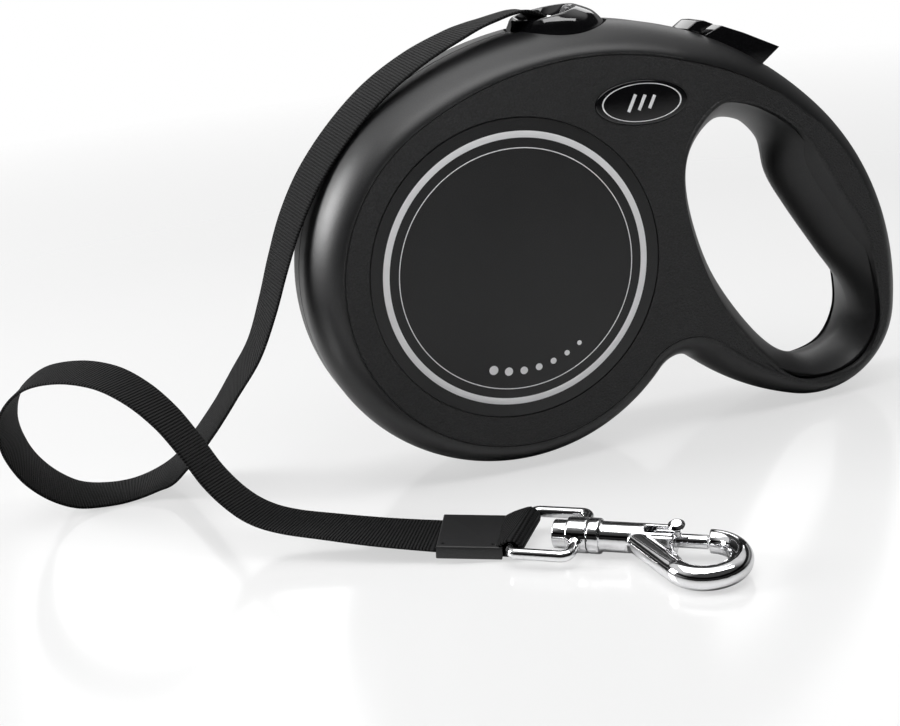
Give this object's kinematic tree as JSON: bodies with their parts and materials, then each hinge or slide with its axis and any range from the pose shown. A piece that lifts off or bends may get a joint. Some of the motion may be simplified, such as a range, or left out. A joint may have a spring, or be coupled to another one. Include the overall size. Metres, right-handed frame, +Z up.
{
  "type": "retractable leash",
  "caption": "Disc-shaped tape reel housing with a D handle, thumb brake and lock, top nozzle, and a flat webbing tape that ends in a sleeve, swivel eye and spring bolt hook.",
  "frame": {"origin": "on the floor under the middle of the housing, which stands on its rim", "axes": "+X from the disc towards the handle, -Y out of the front face, +Z up"},
  "size_m": [0.3095, 0.1747, 0.1466],
  "materials": {
    "shell": "matte black moulded plastic, finely grained",
    "gloss": "polished black plastic",
    "nylon": "plain dark nylon, as moulded",
    "steel": "plain bright steel",
    "webbing": "black woven nylon webbing with ribs across",
    "rubber": "satin black moulded rubber",
    "chrome": "bright chrome plating over cast zinc"
  },
  "bodies": {
    "housing": {"front_shell": "shell", "rear_shell": "shell", "badge_plate": "gloss", "tape_nozzle": "gloss", "nozzle_tongue": "gloss", "lever_pin": "steel", "button_spring": "steel", "spool_axle": "steel", "spring_cover": "nylon", "power_spring": "steel", "tape_inner_run": "webbing", "housing_screws": "steel", "tape": "webbing", "tape_sleeve": "rubber", "end_loop": "webbing", "swivel_eye": "chrome"},
    "spool": {"spool_drum": "nylon", "ratchet_flange": "nylon", "spring_arbor": "nylon", "wound_tape": "webbing", "flange_screws": "steel"},
    "button": {"brake_button": "gloss"},
    "lever": {"brake_lever": "nylon"},
    "slider": {"lock_slider": "gloss"},
    "hook": {"hook_body": "chrome", "swivel_rivet": "chrome", "bolt_spring": "steel"},
    "bolt": {"hook_bolt": "chrome", "bolt_knob": "chrome"}
  },
  "joints": [
    {"name": "spool_spin", "type": "hinge", "parent": "housing", "child": "spool", "pos_m": [-0.0388, 0, 0.0682], "axis": [0, 1, 0], "continuous": true},
    {"name": "button_press", "type": "slide", "parent": "housing", "child": "button", "axis": [-0.518, 0, -0.8554], "range_m": [0, 0.0055], "stiffness_N_per_m": 500, "springref_m": -0.004, "deforming": ["button_spring"]},
    {"name": "lever_rock", "type": "hinge", "parent": "housing", "child": "lever", "pos_m": [0.0097, 0, 0.123], "axis": [0, 1, 0], "range_deg": [0, 11.2]},
    {"name": "lock_slide", "type": "slide", "parent": "housing", "child": "slider", "axis": [-0.8554, 0, 0.518], "range_m": [0, 0.003]},
    {"name": "hook_swivel", "type": "hinge", "parent": "housing", "child": "hook", "pos_m": [-0.0466, -0.08886, 0.0054], "axis": [0.7934, -0.6088, 0], "continuous": true},
    {"name": "bolt_slide", "type": "slide", "parent": "hook", "child": "bolt", "axis": [-0.7934, 0.6088, 0], "range_m": [0, 0.008], "stiffness_N_per_m": 250, "springref_m": -0.004, "deforming": ["bolt_spring"]}
  ],
  "couplings": [
    {"joint": "lever_rock", "follows": "button_press", "rad_per_m": 35.5}
  ]
}
